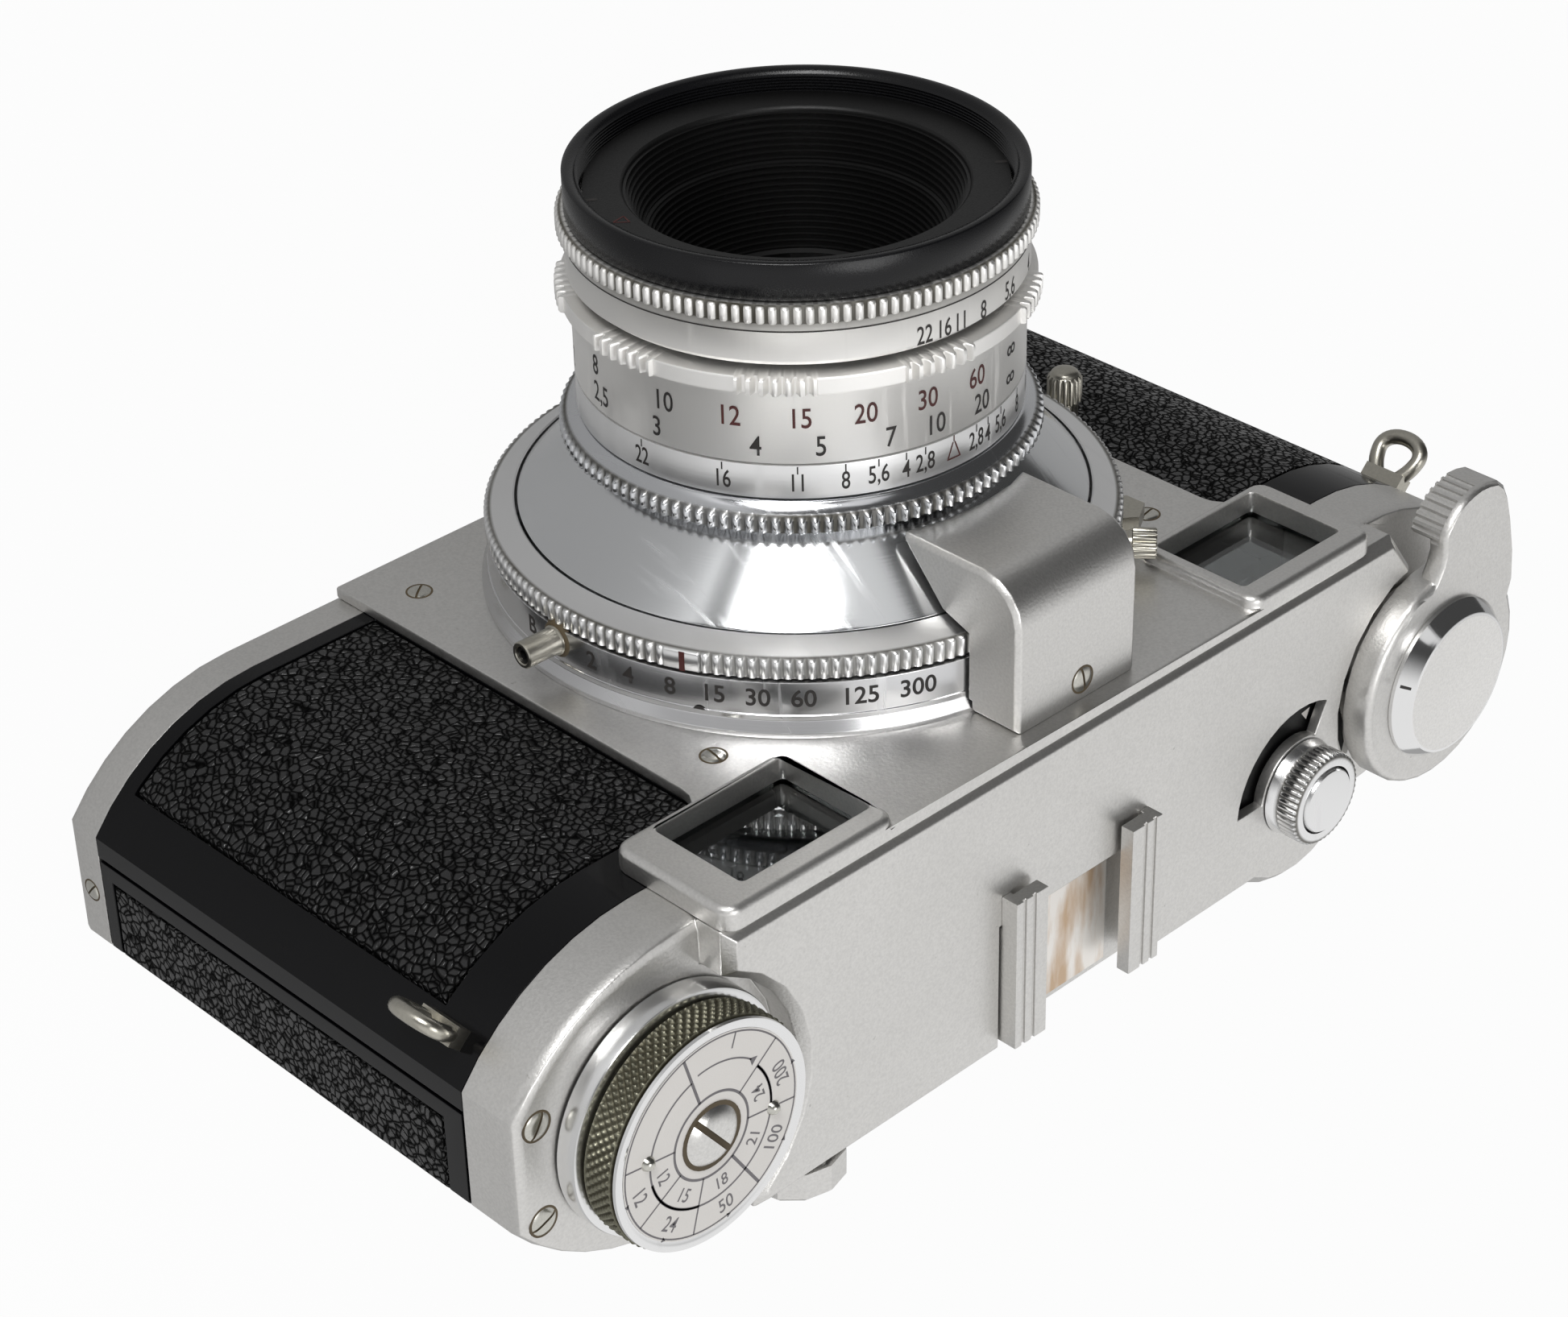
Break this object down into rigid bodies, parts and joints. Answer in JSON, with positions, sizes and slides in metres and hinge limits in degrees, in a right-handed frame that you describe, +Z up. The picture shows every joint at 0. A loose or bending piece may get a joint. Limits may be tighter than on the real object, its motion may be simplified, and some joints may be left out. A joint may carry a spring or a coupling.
{
  "type": "rangefinder camera",
  "caption": "35 mm rangefinder camera with a leaf shutter on a conical lens mount, an interchangeable lens, a wind lever and a hinged back",
  "frame": {"origin": "on the base plane, straight below the lens axis and in the film plane", "axes": "+Z up with the camera upright, -Y along the lens axis out of the lens, +X towards the rewind knob's end"},
  "size_m": [0.1345, 0.0778, 0.0722],
  "materials": {
    "satin_silver": "satin chrome plate",
    "bright_silver": "polished chrome plate",
    "nickel": "worn nickel plate",
    "spring_steel": "bare spring steel",
    "brass": "turned",
    "black_enamel": "glossy black enamel",
    "matt_black": "matt black paint",
    "dial_white": "satin, printed dial",
    "black_leather": "grained black leatherette",
    "clear_glass": "polished, coated"
  },
  "bodies": {
    "body": {"base_plate": "satin_silver", "tripod_socket": "nickel", "body_casting": "black_enamel", "front_leather_rewind": "black_leather", "front_leather_wind": "black_leather", "front_plate": "satin_silver", "viewfinder_window": "clear_glass", "rangefinder_window": "clear_glass", "top_housing": "satin_silver", "eyepiece_ring": "satin_silver", "eyepiece_lens": "clear_glass", "beam_splitter": "clear_glass", "accessory_shoe": "satin_silver", "rangefinder_cover": "satin_silver", "strap_lug_rewind": "satin_silver", "strap_lug_wind": "satin_silver", "hinge_pin": "nickel", "release_collar": "satin_silver", "shutter_barrel": "bright_silver", "shutter_cone": "bright_silver", "sync_socket": "nickel", "cable_fitting": "nickel", "depth_of_field_barrel": "bright_silver"},
    "back": {"back_cover": "black_enamel", "back_leather": "black_leather", "pressure_spring": "spring_steel", "pressure_plate": "matt_black"},
    "wind": {"wind_lever": "satin_silver", "wind_hub_cap": "bright_silver"},
    "spool": {"take_up_spool": "matt_black"},
    "sprocket": {"sprocket_drum": "brass"},
    "counter": {"counter_disc": "matt_black"},
    "release": {"release_button": "satin_silver"},
    "rewind_sleeve": {"rewind_flange": "satin_silver"},
    "rewind": {"rewind_knob": "nickel", "rewind_shaft": "nickel", "dial_screw": "bright_silver"},
    "reminder": {"reminder_dial": "dial_white"},
    "speeds": {"speed_ring": "bright_silver"},
    "tab": {"release_tab": "nickel"},
    "timer": {"timer_lever": "nickel"},
    "lens_lock": {"lock_ring": "bright_silver"},
    "focus": {"focus_ring": "bright_silver"},
    "head": {"lens_head": "matt_black", "filter_rim": "black_enamel", "baffle_ring": "matt_black", "front_glass": "clear_glass", "rear_cell": "matt_black", "rear_glass": "clear_glass"},
    "aperture": {"aperture_ring": "bright_silver"},
    "blade_1": {"iris_blade_1": "matt_black"},
    "blade_2": {"iris_blade_2": "matt_black"},
    "blade_3": {"iris_blade_3": "matt_black"},
    "blade_4": {"iris_blade_4": "matt_black"},
    "blade_5": {"iris_blade_5": "matt_black"},
    "blade_6": {"iris_blade_6": "matt_black"},
    "prism": {"rangefinder_prism": "clear_glass"}
  },
  "joints": [
    {"name": "back_hinge", "type": "hinge", "parent": "body", "child": "back", "pos_m": [-0.0645, -0.0114, 0.03], "axis": [0, 0, 1], "range_deg": [0, 110]},
    {"name": "wind_stroke", "type": "hinge", "parent": "body", "child": "wind", "pos_m": [-0.0495, -0.006, 0.0685], "axis": [0, 0, 1], "range_deg": [-125, 0]},
    {"name": "spool_turn", "type": "hinge", "parent": "body", "child": "spool", "pos_m": [-0.0475, -0.0072, 0.029], "axis": [0, 0, 1], "range_deg": [0, 360]},
    {"name": "sprocket_turn", "type": "hinge", "parent": "body", "child": "sprocket", "pos_m": [-0.028, -0.0062, 0.029], "axis": [0, 0, 1], "range_deg": [0, 360]},
    {"name": "counter_turn", "type": "hinge", "parent": "body", "child": "counter", "pos_m": [-0.0304, -0.001, 0.064], "axis": [0, 0, 1], "range_deg": [0, 18]},
    {"name": "release_press", "type": "slide", "parent": "body", "child": "release", "axis": [0, 0, -1], "range_m": [0, 0.002], "stiffness_N_per_m": 500, "springref_m": -0.002},
    {"name": "rewind_lift", "type": "slide", "parent": "body", "child": "rewind_sleeve", "axis": [0, 0, 1], "range_m": [0, 0.007]},
    {"name": "rewind_turn", "type": "hinge", "parent": "rewind_sleeve", "child": "rewind", "pos_m": [0.0504, -0.0072, 0.066], "axis": [0, 0, 1], "continuous": true},
    {"name": "reminder_turn", "type": "hinge", "parent": "rewind", "child": "reminder", "pos_m": [0.0504, -0.0072, 0.0686], "axis": [0, 0, 1], "continuous": true},
    {"name": "speed_turn", "type": "hinge", "parent": "body", "child": "speeds", "pos_m": [0, -0.0313, 0.029], "axis": [0, 1, 0], "range_deg": [-40, 34]},
    {"name": "tab_press", "type": "hinge", "parent": "body", "child": "tab", "pos_m": [0, -0.0273, 0.029], "axis": [0, 1, 0], "range_deg": [-8, 0], "stiffness_Nm_per_rad": 0.02, "springref_deg": 8.02},
    {"name": "timer_swing", "type": "hinge", "parent": "body", "child": "timer", "pos_m": [0, -0.0273, 0.029], "axis": [0, 1, 0], "range_deg": [-25, 0]},
    {"name": "lock_turn", "type": "hinge", "parent": "body", "child": "lens_lock", "pos_m": [0, -0.0418, 0.029], "axis": [0, 1, 0], "range_deg": [0, 30]},
    {"name": "focus_turn", "type": "hinge", "parent": "body", "child": "focus", "pos_m": [0, -0.0513, 0.029], "axis": [0, 1, 0], "range_deg": [-220, 28]},
    {"name": "head_slide", "type": "slide", "parent": "body", "child": "head", "axis": [0, -1, 0], "range_m": [-0.00028, 0.0025]},
    {"name": "aperture_turn", "type": "hinge", "parent": "head", "child": "aperture", "pos_m": [0, -0.0594, 0.029], "axis": [0, 1, 0], "range_deg": [-9, 56]},
    {"name": "blade_1_swing", "type": "hinge", "parent": "head", "child": "blade_1", "pos_m": [0.01175, -0.0452, 0.029], "axis": [0, 1, 0], "range_deg": [-5, 25]},
    {"name": "blade_2_swing", "type": "hinge", "parent": "head", "child": "blade_2", "pos_m": [0.00588, -0.0448, 0.03918], "axis": [0, 1, 0], "range_deg": [-5, 25]},
    {"name": "blade_3_swing", "type": "hinge", "parent": "head", "child": "blade_3", "pos_m": [-0.00588, -0.0445, 0.03918], "axis": [0, 1, 0], "range_deg": [-5, 25]},
    {"name": "blade_4_swing", "type": "hinge", "parent": "head", "child": "blade_4", "pos_m": [-0.01175, -0.0441, 0.029], "axis": [0, 1, 0], "range_deg": [-5, 25]},
    {"name": "blade_5_swing", "type": "hinge", "parent": "head", "child": "blade_5", "pos_m": [-0.00588, -0.0437, 0.01882], "axis": [0, 1, 0], "range_deg": [-5, 25]},
    {"name": "blade_6_swing", "type": "hinge", "parent": "head", "child": "blade_6", "pos_m": [0.00588, -0.0433, 0.01882], "axis": [0, 1, 0], "range_deg": [-5, 25]},
    {"name": "prism_swing", "type": "hinge", "parent": "body", "child": "prism", "pos_m": [-0.0306, -0.01565, 0.059], "axis": [0, 0, 1], "range_deg": [-3, 1]}
  ],
  "couplings": [
    {"joint": "spool_turn", "follows": "wind_stroke", "ratio": -2.88},
    {"joint": "sprocket_turn", "follows": "wind_stroke", "ratio": -2.88},
    {"joint": "counter_turn", "follows": "wind_stroke", "ratio": -0.144},
    {"joint": "focus_turn", "follows": "head_slide", "rad_per_m": -1495},
    {"joint": "prism_swing", "follows": "head_slide", "rad_per_m": -18.69},
    {"joint": "blade_1_swing", "follows": "aperture_turn", "ratio": 0.44},
    {"joint": "blade_2_swing", "follows": "aperture_turn", "ratio": 0.44},
    {"joint": "blade_3_swing", "follows": "aperture_turn", "ratio": 0.44},
    {"joint": "blade_4_swing", "follows": "aperture_turn", "ratio": 0.44},
    {"joint": "blade_5_swing", "follows": "aperture_turn", "ratio": 0.44},
    {"joint": "blade_6_swing", "follows": "aperture_turn", "ratio": 0.44}
  ]
}
